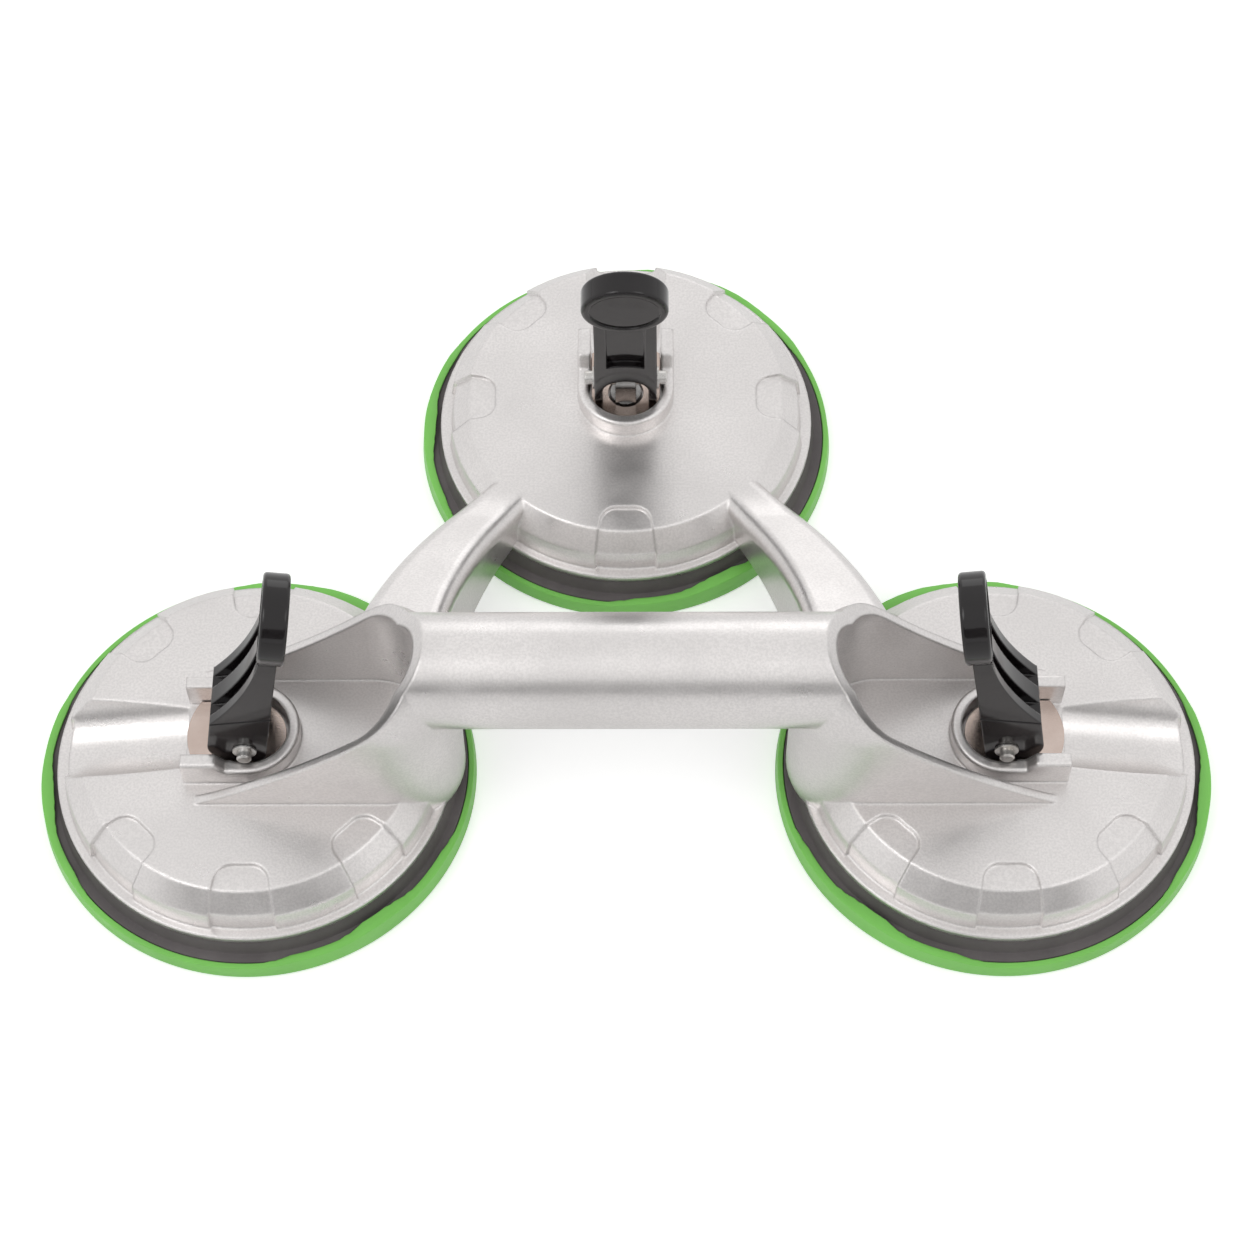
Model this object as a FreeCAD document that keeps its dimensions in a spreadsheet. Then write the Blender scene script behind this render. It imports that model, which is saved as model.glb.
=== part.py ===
"""Three-cup floor tile suction lifter, a parametric assembly in millimetres, +Z up.

The origin is on the floor under the middle of the whole tool. The front pair of cups
stands left and right of the handle, the third cup stands behind it (+Y). Each cup has
its own frame: its centre on the floor, with local +X the way its lever folds down.
"""
import FreeCAD, Part
import math
import os
import Sketcher
from FreeCAD import Placement, Rotation, Vector

SIZES = (
    # layout
    ("cup_spread", 204.0),
    ("cup_setback", 112.0),
    # cast plate of one cup, outside
    ("plate_top", 24.0),
    ("plate_top_radius", 46.0),
    ("bevel_radius", 51.5),
    ("bevel_drop", 5.5),
    ("wall_draft", 0.8),
    ("lip_width", 3.0),
    ("lip_top", 12.0),
    ("lip_base", 10.0),
    # cast plate, inside
    ("casting_wall", 3.4),
    ("lip_seat_width", 5.0),
    ("hub_radius", 11.0),
    ("hub_drop", 5.6),
    # recesses round the plate's edge
    ("recess_inner_radius", 38.0),
    ("recess_depth", 1.0),
    ("recess_angle", 19.6),
    ("recess_count", 8),
    ("recess_corner", 5.0),
    # finger trough
    ("trough_radius", 12.5),
    ("trough_depth", 4.0),
    ("trough_slope", 9.3),
    ("trough_back", 0.3),
    ("gutter_back", 1.5),
    # horseshoe boss round the well
    ("boss_radius", 13.9),
    ("boss_rise", 6.0),
    ("boss_reach", 17.2),
    ("ear_start", 8.0),
    ("ear_rise", 3.6),
    ("ear_gap", 10.2),
    ("ear_ramp", 2.6),
    ("boss_round", 0.9),
    ("well_radius", 11.0),
    # wear plate in the well
    ("wear_thickness", 2.0),
    ("wear_reach", 17.0),
    ("well_clearance", 0.25),
    ("stem_hole_clearance", 0.6),
    # handle and its scoops
    ("handle_height", 61.1),
    ("handle_radius", 15.3),
    ("handle_wall", 3.5),
    ("scoop_half_width", 20.3),
    ("scoop_wall", 2.4),
    ("scoop_nose", 33.0),
    ("scoop_shoulder", 37.5),
    ("scoop_tip", 14.0),
    ("mouth_top", 50.0),
    ("mouth_radius", 182.0),
    # arms to the back plate
    ("arm_base", 11.0),
    ("arm_slope", 24.0),
    ("arm_flush", 18.8),
    ("arm_blend", 6.0),
    ("arm_round", 4.0),
    # stem, pin and rings
    ("pin_height", 33.5),
    ("pin_radius", 2.0),
    ("pin_length", 24.0),
    ("pin_chamfer", 0.4),
    ("running_gap", 0.05),
    ("ring_radius", 3.2),
    ("ring_thickness", 0.6),
    ("ring_opening", 2.8),
    ("stem_radius", 4.5),
    ("stem_foot", 5.0),
    ("tongue_width", 5.8),
    ("tongue_depth", 8.0),
    # lever
    ("lever_lean", 9.5),
    ("stem_lift", 2.5),
    ("lever_half_width", 8.7),
    ("cam_gap", 0.08),
    ("face_inset", 5.8),
    ("heel_height", 12.5),
    ("arm_top", 47.0),
    ("arm_back", 1.0),
    ("arm_sweep", 84.0),
    ("cheek_step", 0.2),
    ("foot_round", 5.0),
    ("paddle_height", 55.9),
    ("paddle_inset", 4.0),
    ("paddle_radius", 11.9),
    ("paddle_thickness", 7.0),
    ("paddle_dish", 0.5),
    ("paddle_lip", 2.2),
    ("paddle_round", 1.0),
    ("fork_half_width", 6.6),
    ("fork_top", 9.5),
    ("channel_half_width", 5.35),
    ("channel_base", 19.0),
    ("channel_depth", 2.0),
    ("channel_arch", 13.4),
    ("groove_floor", 2.2),
    ("rib_half_width", 2.5),
    ("flange_width", 2.8),
    # rubber pad, its steel core and the spring
    ("pad_overhang", 3.7),
    ("pad_base", 1.6),
    ("pad_rim_top", 5.0),
    ("pad_shoulder", 2.6),
    ("pad_neck", 0.8),
    ("pad_web_top", 8.2),
    ("pad_middle_rise", 1.2),
    ("pad_edge_rise", 0.9),
    ("pad_seal_inset", 3.0),
    ("pad_seal_ramp", 4.0),
    ("pad_fit", 0.3),
    ("core_radius", 30.0),
    ("core_thickness", 3.2),
    ("core_boss_radius", 8.0),
    ("core_boss_rise", 3.0),
    ("spring_radius", 12.5),
    ("spring_wire", 0.9),
    ("spring_turns", 3),
    # protective cap
    ("cap_flare", 2.2),
    ("cap_rim", 1.4),
    ("cap_floor", 1.5),
    ("cap_rim_top", 4.9),
    ("cap_edge", 0.5),
    ("cap_gap", 0.2),
    ("tab_thickness", 0.8),
    ("grip_top", 5.9),
    ("grip_lap", 0.7),
    ("grip_angle", 58.0),
    ("grip_count", 3),
    ("tab_top", 6.7),
    ("tab_lap", 1.9),
    ("tab_angle", 15.0),
    # how far cutting tools and fused roots run past a face, and the share of a wall's
    # thickness by which its corners move along a slope
    ("overrun", 1.0),
    ("slope_share", 0.4),
)

# Cup, the way its lever folds down, its place as shares of the spread and the setback,
# and how far round its cap was pushed on.
CUPS = (
    ("left", 180.0, Vector(-0.5, -0.5, 0), 8.0),
    ("right", 0.0, Vector(0.5, -0.5, 0), -9.0),
    ("back", 90.0, Vector(0, 0.5, 0), -32.0),
)

# Plan of the left arm's two sides: start, middle and end, x and y from the tool's centre.
ARM_INNER = ((-25.0, 22.5), (-43.0, -9.0), (-49.5, -44.0))
ARM_OUTER = ((-38.0, 28.0), (-59.0, 0.7), (-74.5, -40.0))

doc = FreeCAD.newDocument("suction_lifter")
sheet = doc.addObject("Spreadsheet::Sheet", "Spec")
for row, (alias, size) in enumerate(SIZES, start=1):
    sheet.set("A%d" % row, alias)
    sheet.set("B%d" % row, str(size))
    sheet.setAlias("B%d" % row, alias)
doc.recompute()


def num(formula):
    """Value of a formula written in the sheet's names."""
    return float(sheet.evalExpression(formula))


def spec(alias):
    return num("Spec." + alias)


def bind(thing, **formulas):
    """Tie properties of a feature to formulas over the sheet."""
    for name, formula in formulas.items():
        thing.setExpression(name, formula)


def new_body(name):
    made = doc.addObject("PartDesign::Body", name)
    made.Label = name
    return made


def origin_item(owner, role):
    return next(item for item in owner.Origin.OriginFeatures if item.Role == role)


def attach(thing, owner, role, shift=None):
    """Put a sketch or primitive on one of its own body's origin planes."""
    thing.AttachmentSupport = (origin_item(owner, role), "")
    thing.MapMode = "FlatFace"
    if shift:
        thing.setExpression(".AttachmentOffset.Base.z", shift)


def pin_point(sketch, geometry, end, across, along):
    """Hold one point of a sketch at two formulas, measured from the sketch's origin."""
    for kind, axis, formula in (("DistanceX", -2, across), ("DistanceY", -1, along)):
        if formula == "0":
            sketch.addConstraint(Sketcher.Constraint("PointOnObject", geometry, end, axis))
            continue
        index = sketch.addConstraint(
            Sketcher.Constraint(kind, -1, 1, geometry, end, num(formula)))
        sketch.setExpression("Constraints[%d]" % index, formula)


def arc_between(start, end, radius, side):
    """Minor arc from start to end; side is 1 for a centre on the left, -1 on the right."""
    chord = end - start
    normal = Vector(-chord.y, chord.x, 0).normalize() * side
    centre = (start + end) / 2 + normal * math.sqrt(radius ** 2 - (chord.Length / 2) ** 2)
    angles = [math.atan2(p.y - centre.y, p.x - centre.x) for p in (start, end)]
    if side < 0:
        angles.reverse()
    return Part.ArcOfCircle(Part.Circle(centre, Vector(0, 0, 1), radius), *angles)


def draw(owner, name, role, corners, shift=None):
    """Closed outline. A corner is (across, along) or, where an arc leaves it,
    (across, along, radius, side)."""
    sketch = owner.newObject("Sketcher::SketchObject", name)
    attach(sketch, owner, role, shift)
    spots = [Vector(num(c[0]), num(c[1]), 0) for c in corners]
    ends = []
    for index, corner in enumerate(corners):
        here, there = spots[index], spots[(index + 1) % len(spots)]
        if len(corner) == 2:
            sketch.addGeometry(Part.LineSegment(here, there), False)
            ends.append((1, 2))
        else:
            sketch.addGeometry(arc_between(here, there, num(corner[2]), corner[3]), False)
            ends.append((1, 2) if corner[3] > 0 else (2, 1))
    count = len(corners)
    for index in range(count):
        follower = (index + 1) % count
        sketch.addConstraint(Sketcher.Constraint(
            "Coincident", index, ends[index][1], follower, ends[follower][0]))
    for index, corner in enumerate(corners):
        pin_point(sketch, index, ends[index][0], corner[0], corner[1])
        if len(corner) > 2:
            held = sketch.addConstraint(
                Sketcher.Constraint("Radius", index, num(corner[2])))
            sketch.setExpression("Constraints[%d]" % held, corner[2])
    return sketch


def draw_circle(owner, name, role, across, along, radius, shift=None):
    sketch = owner.newObject("Sketcher::SketchObject", name)
    attach(sketch, owner, role, shift)
    centre = Vector(num(across), num(along), 0)
    sketch.addGeometry(Part.Circle(centre, Vector(0, 0, 1), num(radius)), False)
    pin_point(sketch, 0, 3, across, along)
    held = sketch.addConstraint(Sketcher.Constraint("Radius", 0, num(radius)))
    sketch.setExpression("Constraints[%d]" % held, radius)
    return sketch


def feature(owner, kind, name, profile, **formulas):
    made = owner.newObject("PartDesign::" + kind, name)
    made.Profile = profile
    bind(made, **formulas)
    return made


def revolve(owner, name, corners, cut=False):
    """Full turn about Z of an outline drawn as radius and height."""
    profile = draw(owner, name + "_profile", "XZ_Plane", corners)
    made = feature(owner, "Groove" if cut else "Revolution", name, profile)
    made.ReferenceAxis = (profile, ["V_Axis"])
    made.Angle = 360
    doc.recompute()
    return made


def pad(owner, name, profile, length, midplane=False, reverse=False):
    made = feature(owner, "Pad", name, profile, Length=length)
    made.Midplane = midplane
    made.Reversed = reverse
    doc.recompute()
    return made


def pocket(owner, name, profile, length, midplane=False, reverse=False):
    before = owner.Shape.Volume
    made = feature(owner, "Pocket", name, profile, Length=length)
    made.Midplane = midplane
    made.Reversed = reverse
    doc.recompute()
    if owner.Shape.Volume > before - 0.01:
        raise RuntimeError(name + " cuts nothing")
    return made


def edge_names(shape, wanted):
    return ["Edge%d" % (i + 1) for i, edge in enumerate(shape.Edges) if wanted(edge)]


def soften(owner, name, wanted, radius, kind="Fillet"):
    """Fillet or chamfer of the edges of a body that a test picks."""
    doc.recompute()
    base = owner.Tip
    made = owner.newObject("PartDesign::" + kind, name)
    made.Base = (base, edge_names(base.Shape, wanted))
    bind(made, **{"Radius" if kind == "Fillet" else "Size": radius})
    doc.recompute()
    return made


def round_solid(name, source, wanted, radius):
    """Part fillet of the edges of any solid that a test picks."""
    doc.recompute()
    made = doc.addObject("Part::Fillet", name)
    made.Base = source
    chosen = [i + 1 for i, edge in enumerate(source.Shape.Edges) if wanted(edge)]
    made.Edges = [(index, radius, radius) for index in chosen]
    doc.recompute()
    return made


def fuse(name, parts):
    made = doc.addObject("Part::MultiFuse", name)
    made.Shapes = parts
    made.Refine = True
    doc.recompute()
    return made


def cut(name, base, tool):
    made = doc.addObject("Part::Cut", name)
    made.Base = base
    made.Tool = tool
    doc.recompute()
    return made


def common(name, parts):
    made = doc.addObject("Part::MultiCommon", name)
    made.Shapes = parts
    doc.recompute()
    return made


def cylinder(name, radius, length):
    made = doc.addObject("Part::Cylinder", name)
    bind(made, Radius=radius, Height=length)
    return made


def cup_place(yaw, where):
    """Placement of a cup's own frame in the tool."""
    spot = Vector(where.x * spec("cup_spread"), where.y * spec("cup_setback"), 0)
    return Placement(spot, Rotation(Vector(0, 0, 1), yaw))


# ---------------------------------------------------------------- cast plate of one cup

# Radii that follow the plate's bevel outwards: the wall's foot, the lip, the rubber pad
# and the protective cap.
WALL_FOOT = "(Spec.bevel_radius + Spec.wall_draft)"
LIP = "(Spec.bevel_radius + Spec.lip_width)"
PAD_EDGE = "(Spec.bevel_radius + Spec.lip_width + Spec.pad_overhang)"
CAP_EDGE = "(Spec.bevel_radius + Spec.lip_width + Spec.pad_overhang + Spec.cap_flare)"


def edge_height(edge, height):
    box = edge.BoundBox
    return abs(box.ZMin - height) < 0.01 and abs(box.ZMax - height) < 0.01


def recess(plate, name, angle):
    """One shallow recess in the plate's edge, at an angle from local +X."""
    inset = "Spec.recess_depth"
    outside = LIP + " + Spec.overrun"
    above = "Spec.plate_top + Spec.overrun"
    profile = draw(plate, name + "_profile", "XZ_Plane", [
        ("Spec.recess_inner_radius", "Spec.plate_top - " + inset),
        ("Spec.plate_top_radius - Spec.slope_share * " + inset, "Spec.plate_top - " + inset),
        ("Spec.bevel_radius - " + inset,
         "Spec.plate_top - Spec.bevel_drop - Spec.slope_share * " + inset),
        (WALL_FOOT + " - " + inset, "Spec.lip_top"),
        (outside, "Spec.lip_top"), (outside, above), ("Spec.recess_inner_radius", above),
    ])
    profile.AttachmentOffset = Placement(Vector(), Rotation(Vector(0, 1, 0), angle))
    groove = feature(plate, "Groove", name, profile, Angle="Spec.recess_angle")
    groove.ReferenceAxis = (profile, ["V_Axis"])
    groove.Midplane = True
    doc.recompute()
    return groove


def recess_ring(plate, name, first, span, formula):
    """Recesses repeated round the plate over a span from the first one."""
    ring = plate.newObject("PartDesign::PolarPattern", name)
    ring.Originals = [first]
    ring.Axis = (origin_item(plate, "Z_Axis"), [""])
    ring.Angle = span
    bind(ring, Occurrences=formula)
    plate.Tip = ring
    doc.recompute()
    return ring


def plate_solid(side):
    """Round plate with a bevelled edge and a ring of shallow recesses in it."""
    plate = new_body("plate_" + side)
    outline = [
        ("0", "Spec.lip_base"), (LIP, "Spec.lip_base"),
        (LIP, "Spec.lip_top"), (WALL_FOOT, "Spec.lip_top"),
        ("Spec.bevel_radius", "Spec.plate_top - Spec.bevel_drop"),
        ("Spec.plate_top_radius", "Spec.plate_top"), ("0", "Spec.plate_top"),
    ]
    revolve(plate, "plate_turned_" + side, outline)

    if side == "back":
        # The arms join over two of its places, which stay whole.
        recess_ring(plate, "recess_ring_" + side, recess(plate, "recess_" + side, -90), 180,
                    "Spec.recess_count / 2 + 1")
        recess(plate, "recess_between_arms", 180)
    else:
        recess_ring(plate, "recess_ring_" + side, recess(plate, "recess_" + side, 0), 360,
                    "Spec.recess_count")
    inner = spec("recess_inner_radius")
    depth = spec("recess_depth")

    def recess_corner(edge):
        box = edge.BoundBox
        upright = box.XLength < 0.01 and box.YLength < 0.01 and abs(box.ZLength - depth) < 0.01
        return upright and abs(math.hypot(box.XMin, box.YMin) - inner) < 0.5

    soften(plate, "recess_corners_" + side, recess_corner, "Spec.recess_corner")
    return plate


def boss_solid(side):
    """Horseshoe boss with two raised ears at its open end, without its well."""
    boss = new_body("boss_" + side)
    base = "Spec.plate_top - Spec.overrun"
    top = "Spec.plate_top + Spec.boss_rise"
    ears = draw(boss, "ear_profile_" + side, "XZ_Plane", [
        ("0", base), ("Spec.boss_reach", base),
        ("Spec.boss_reach", top + " + Spec.ear_rise"),
        ("Spec.ear_start", top + " + Spec.ear_rise"),
        ("Spec.ear_start - Spec.ear_ramp", top), ("0", top),
    ])
    pad(boss, "boss_arms_" + side, ears, "2 * Spec.boss_radius", midplane=True)
    half = draw_circle(boss, "boss_round_" + side, "XY_Plane", "0", "0", "Spec.boss_radius", base)
    pad(boss, "boss_end_" + side, half, "Spec.boss_rise + Spec.overrun")
    well = draw_circle(boss, "well_round_" + side, "XY_Plane", "0", "0",
                       "Spec.well_radius", "Spec.plate_top")
    depth = "Spec.boss_rise + Spec.ear_rise + Spec.overrun"
    pocket(boss, "well_" + side, well, depth, reverse=True)
    open_end = "Spec.boss_reach + Spec.overrun"
    mouth = draw(boss, "mouth_outline_" + side, "XY_Plane", [
        ("0", "-Spec.ear_gap"), (open_end, "-Spec.ear_gap"),
        (open_end, "Spec.ear_gap"), ("0", "Spec.ear_gap"),
    ], "Spec.plate_top")
    pocket(boss, "mouth_" + side, mouth, depth, reverse=True)
    low = spec("plate_top") + spec("boss_rise")

    def outer_rim(edge):
        """Top edges of the boss, apart from those round the well."""
        box = edge.BoundBox
        if box.ZMin < low - 0.01 or box.ZLength > spec("ear_rise") + 0.01:
            return False
        reach = max(abs(box.YMin), abs(box.YMax))
        return reach > spec("boss_radius") - 0.01 and box.YLength < 0.01 or (
            edge_height(edge, low) and reach > spec("well_radius") + 0.1)

    soften(boss, "boss_edge_" + side, outer_rim, "Spec.boss_round")
    return boss


def hollow_tool(side):
    """Space under the plate: a ring between the guide hub and the wall, with the metal
    under the finger trough left standing."""
    ring = new_body("hollow_" + side)
    roof = "Spec.plate_top - Spec.casting_wall"
    seat = LIP + " - Spec.lip_seat_width"
    revolve(ring, "hollow_turned_" + side, [
        ("0", "0"), (seat, "0"), (seat, "Spec.lip_base"),
        ("Spec.bevel_radius - Spec.casting_wall",
         "Spec.plate_top - Spec.bevel_drop - Spec.slope_share * Spec.casting_wall"),
        ("Spec.plate_top_radius - Spec.slope_share * Spec.casting_wall", roof),
        ("Spec.hub_radius", roof), ("Spec.hub_radius", roof + " - Spec.hub_drop"),
        ("0", roof + " - Spec.hub_drop"),
    ])
    gutter = cylinder("gutter_" + side, "Spec.trough_radius + Spec.casting_wall",
                      "2 * Spec.plate_top_radius")
    gutter.Placement = trough_place("gutter_back")
    return cut("hollow_kept_" + side, ring, gutter)


def trough_place(back):
    """The trough's cylinder runs out from the boss's open end and dips towards the rim."""
    start = spec("boss_reach")
    axis_height = spec("plate_top") - spec("trough_depth") + spec("trough_radius")
    slope = math.radians(spec("trough_slope"))
    spot = Vector(start - spec(back) * math.cos(slope), 0,
                  axis_height + spec(back) * math.sin(slope))
    return Placement(spot, Rotation(Vector(0, 1, 0), 90 + spec("trough_slope")))


def trough_tool(side):
    """Round-bottomed cutter of the finger trough, kept clear of the boss and the lip."""
    tool = cylinder("trough_" + side, "Spec.trough_radius", "2 * Spec.plate_top_radius")
    tool.Placement = trough_place("trough_back")
    return tool


# ---------------------------------------------------------------- handle scoops and arms

def dome(name, half_width, end, base, length):
    """Upright U-shaped hood along local X with a round, domed end."""
    middle = "(Spec.handle_height + Spec.handle_radius - Spec.scoop_half_width)"
    low, high, width, shift = num(base), num(middle), num(half_width), -num(end)
    walls = doc.addObject("Part::Box", name + "_walls")
    bind(walls, Length=length, Width="2 * " + half_width, Height=middle + " - " + base)
    walls.Placement.Base = Vector(shift, -width, low)
    along = Rotation(Vector(0, 1, 0), 90)
    roof = cylinder(name + "_roof", half_width, length)
    roof.Placement = Placement(Vector(shift, 0, high), along)
    post = cylinder(name + "_post", half_width, middle + " - " + base)
    post.Placement.Base = Vector(shift, 0, low)
    ball = doc.addObject("Part::Sphere", name + "_ball")
    bind(ball, Radius=half_width)
    ball.Placement.Base = Vector(shift, 0, high)
    return fuse(name, [walls, roof, post, ball])


def mouth_tool(side):
    """Big cylinder whose underside sweeps from the scoop's tip up to the bar's top."""
    tip = Vector(spec("scoop_tip"), 0, spec("plate_top"))
    top = Vector(-spec("mouth_top"), 0, spec("handle_height") + spec("handle_radius"))
    chord = top - tip
    normal = Vector(-chord.z, 0, chord.x).normalize() * -1
    radius = spec("mouth_radius")
    centre = (tip + top) / 2 + normal * math.sqrt(radius ** 2 - (chord.Length / 2) ** 2)
    tool = cylinder("scoop_mouth_" + side, "Spec.mouth_radius", "4 * Spec.scoop_half_width")
    reach = 2 * spec("scoop_half_width")
    tool.Placement = Placement(centre + Vector(0, reach, 0), Rotation(Vector(1, 0, 0), 90))
    return tool


def scoop_solid(side):
    """Flared end of the handle, swept open towards the cup's middle and hollowed out."""
    hood = dome("scoop_hood_" + side, "Spec.scoop_half_width", "Spec.scoop_shoulder",
                "Spec.lip_base", "Spec.scoop_shoulder + Spec.scoop_tip")
    stub = cylinder("scoop_stub_" + side, "Spec.handle_radius",
                    LIP + " + Spec.scoop_wall - Spec.scoop_shoulder")
    start = Vector(-spec("scoop_shoulder"), 0, spec("handle_height"))
    stub.Placement = Placement(start, Rotation(Vector(0, 1, 0), -90))
    block = fuse("scoop_solid_" + side, [hood, stub])
    opened = cut("scoop_opened_" + side, block, mouth_tool(side))
    cavity = dome("cavity_" + side, "(Spec.scoop_half_width - Spec.scoop_wall)",
                  "Spec.scoop_nose", "Spec.plate_top", "2 * Spec.bevel_radius")
    return cut("scoop_hollow_" + side, opened, cavity)


def arm_plan(name, height):
    """Plan of the left arm, between two arcs, raised from the arm's underside."""
    inner, outer = [[Vector(x, y, spec("arm_base")) for x, y in points]
                    for points in (ARM_INNER, ARM_OUTER)]
    wire = Part.Wire([
        Part.Arc(*inner).toShape(), Part.makeLine(inner[2], outer[2]),
        Part.Arc(outer[2], outer[1], outer[0]).toShape(), Part.makeLine(outer[0], inner[0]),
    ])
    made = doc.addObject("Part::Feature", name)
    made.Shape = Part.Face(wire).extrude(Vector(0, 0, height))
    return made


def left_arm():
    """Curved bridge that climbs from the back plate to the left scoop."""
    section = new_body("arm_section")
    far = "(Spec.cup_setback / 2)"
    rise = "tan(Spec.arm_slope)"
    outline = draw(section, "arm_outline", "YZ_Plane", [
        ("-1 * " + far, "Spec.arm_base"), (far, "Spec.arm_base"), (far, "Spec.plate_top"),
        ("Spec.arm_flush + Spec.arm_blend", "Spec.plate_top",
         "Spec.arm_blend / tan(Spec.arm_slope / 2)", -1),
        ("Spec.arm_flush - Spec.arm_blend * cos(Spec.arm_slope)",
         "Spec.plate_top + Spec.arm_blend * sin(Spec.arm_slope)"),
        ("-1 * " + far, "Spec.plate_top + (Spec.arm_flush + " + far + ") * " + rise),
    ])
    pad(section, "arm_block", outline, "Spec.cup_spread", midplane=True)
    arm = common("arm_raw", [arm_plan("arm_plan", 3 * spec("plate_top")), section])

    def long_top(edge):
        """The sloping top edges, which run on into the blend at the back plate."""
        box = edge.BoundBox
        return box.ZLength > spec("arm_base") and box.YLength > spec("arm_base")
    return round_solid("arm_left", arm, long_top, spec("arm_round"))


def body_casting():
    """One casting: three plates, the hollow handle with its scoops, and two arms."""
    solids = []
    tools = []
    for side, yaw, where, _ in CUPS:
        place = cup_place(yaw, where)
        plate = plate_solid(side)
        trough = trough_tool(side)
        troughed = cut("plate_troughed_" + side, plate, trough)
        pieces = [troughed, boss_solid(side)]
        if side != "back":
            pieces.append(scoop_solid(side))
        cup = fuse("cup_casting_" + side, pieces)
        cup.Placement = place
        solids.append(cup)
        bore = cylinder("stem_bore_" + side, "Spec.stem_radius + Spec.running_gap",
                        "2 * Spec.plate_top")
        hollow = hollow_tool(side)
        both = fuse("under_" + side, [hollow, bore])
        both.Placement = place
        tools.append(both)
    tube = cylinder("handle_tube", "Spec.handle_radius", "Spec.cup_spread - 2 * " + LIP)
    across = Rotation(Vector(0, 1, 0), 90)
    row = -0.5 * spec("cup_setback")
    half = 0.5 * spec("cup_spread") - num(LIP)
    tube.Placement = Placement(Vector(-half, row, spec("handle_height")), across)
    arm = left_arm()
    cavity = doc.getObject("cavity_left")
    trimmer = doc.addObject("Part::Feature", "arm_trimmer")
    trimmer.Shape = cavity.Shape
    trimmer.Placement = cup_place(CUPS[0][1], CUPS[0][2])
    arm_left = cut("arm_left_trimmed", arm, trimmer)
    arm_right = doc.addObject("Part::Mirroring", "arm_right_trimmed")
    arm_right.Source = arm_left
    arm_right.Normal = Vector(1, 0, 0)
    whole = fuse("casting_solid", solids + [tube, arm_left, arm_right])
    bore = cylinder("handle_bore", "Spec.handle_radius - Spec.handle_wall",
                    "Spec.cup_spread - " + LIP)
    long_half = 0.5 * (spec("cup_spread") - num(LIP))
    bore.Placement = Placement(Vector(-long_half, row, spec("handle_height")), across)
    space = fuse("casting_space", tools + [bore])
    casting = cut("body_casting", whole, space)
    return casting


# ---------------------------------------------------------------- pieces of one cup

PIN_IN_CUP = "Spec.pin_height"
WEAR_TOP = "(Spec.plate_top + Spec.wear_thickness)"
CORE_BASE = "Spec.stem_foot"
CORE_TOP = "(Spec.stem_foot + Spec.core_thickness)"


def wear_plate(name):
    """Steel tongue that fills the well's floor, with a hole for the stem."""
    body = new_body(name)
    half = "(Spec.ear_gap - Spec.well_clearance)"
    corner = "sqrt(Spec.wear_reach ^ 2 - " + half + " ^ 2)"
    outline = draw(body, name + "_outline", "XY_Plane", [
        (corner, "-1 * " + half, "Spec.wear_reach", 1), (corner, half),
        ("0", half, half, 1), ("-1 * " + half, "0", half, 1), ("0", "-1 * " + half),
    ], "Spec.plate_top")
    pad(body, name + "_sheet", outline, "Spec.wear_thickness")
    hole = draw_circle(body, name + "_hole", "XY_Plane", "0", "0",
                       "Spec.stem_radius + Spec.stem_hole_clearance", "Spec.plate_top")
    pocket(body, name + "_cut", hole, "Spec.wear_thickness", reverse=True)
    return body


def pivot_pin(name):
    body = new_body(name)
    round_bar = draw_circle(body, name + "_section", "XZ_Plane", "0", "0", "Spec.pin_radius")
    pad(body, name + "_bar", round_bar, "Spec.pin_length", midplane=True)
    soften(body, name + "_ends", lambda edge: isinstance(edge.Curve, Part.Circle),
           "Spec.pin_chamfer", kind="Chamfer")
    return body


def pin_clips(name):
    """The two open retaining rings that hold the pin, one outside each cheek."""
    rings = []
    for hand in (-1, 1):
        disc = cylinder("%s_disc_%d" % (name, hand + 1), "Spec.ring_radius",
                        "Spec.ring_thickness")
        hole = cylinder("%s_hole_%d" % (name, hand + 1), "Spec.pin_radius",
                        "Spec.ring_thickness")
        gap = doc.addObject("Part::Box", "%s_gap_%d" % (name, hand + 1))
        bind(gap, Length="Spec.ring_opening", Width="Spec.ring_radius",
             Height="Spec.ring_thickness")
        gap.Placement.Base = Vector(-spec("ring_opening") / 2, -spec("ring_radius"), 0)
        ring = cut("%s_ring_%d" % (name, hand + 1), disc,
                   fuse("%s_opening_%d" % (name, hand + 1), [hole, gap]))
        inside = spec("lever_half_width") + spec("cheek_step") + spec("running_gap")
        start = hand * inside + (0.5 * hand + 0.5) * spec("ring_thickness")
        ring.Placement = Placement(Vector(0, start, 0), Rotation(Vector(1, 0, 0), 90))
        rings.append(ring)
    pair = doc.addObject("Part::Compound", name)
    pair.Links = rings
    doc.recompute()
    return pair


def stem(name):
    """Round shank with a flat tongue and an eye for the pin."""
    body = new_body(name)
    shoulder = WEAR_TOP + " + Spec.stem_hole_clearance"
    revolve(body, name + "_shank", [
        ("0", "Spec.stem_foot"), ("Spec.stem_radius", "Spec.stem_foot"),
        ("Spec.stem_radius", shoulder), ("0", shoulder),
    ])
    half = "(Spec.tongue_depth / 2)"
    outline = draw(body, name + "_outline", "XZ_Plane", [
        ("-1 * " + half, shoulder), (half, shoulder), (half, PIN_IN_CUP, half, 1),
        ("0", PIN_IN_CUP + " + " + half, half, 1), ("-1 * " + half, PIN_IN_CUP),
    ])
    pad(body, name + "_tongue", outline, "Spec.tongue_width", midplane=True)
    eye = draw_circle(body, name + "_eye", "XZ_Plane", "0", PIN_IN_CUP,
                      "Spec.pin_radius + Spec.running_gap")
    pocket(body, name + "_bore", eye, "Spec.tongue_width + Spec.overrun", midplane=True)
    return body


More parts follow.
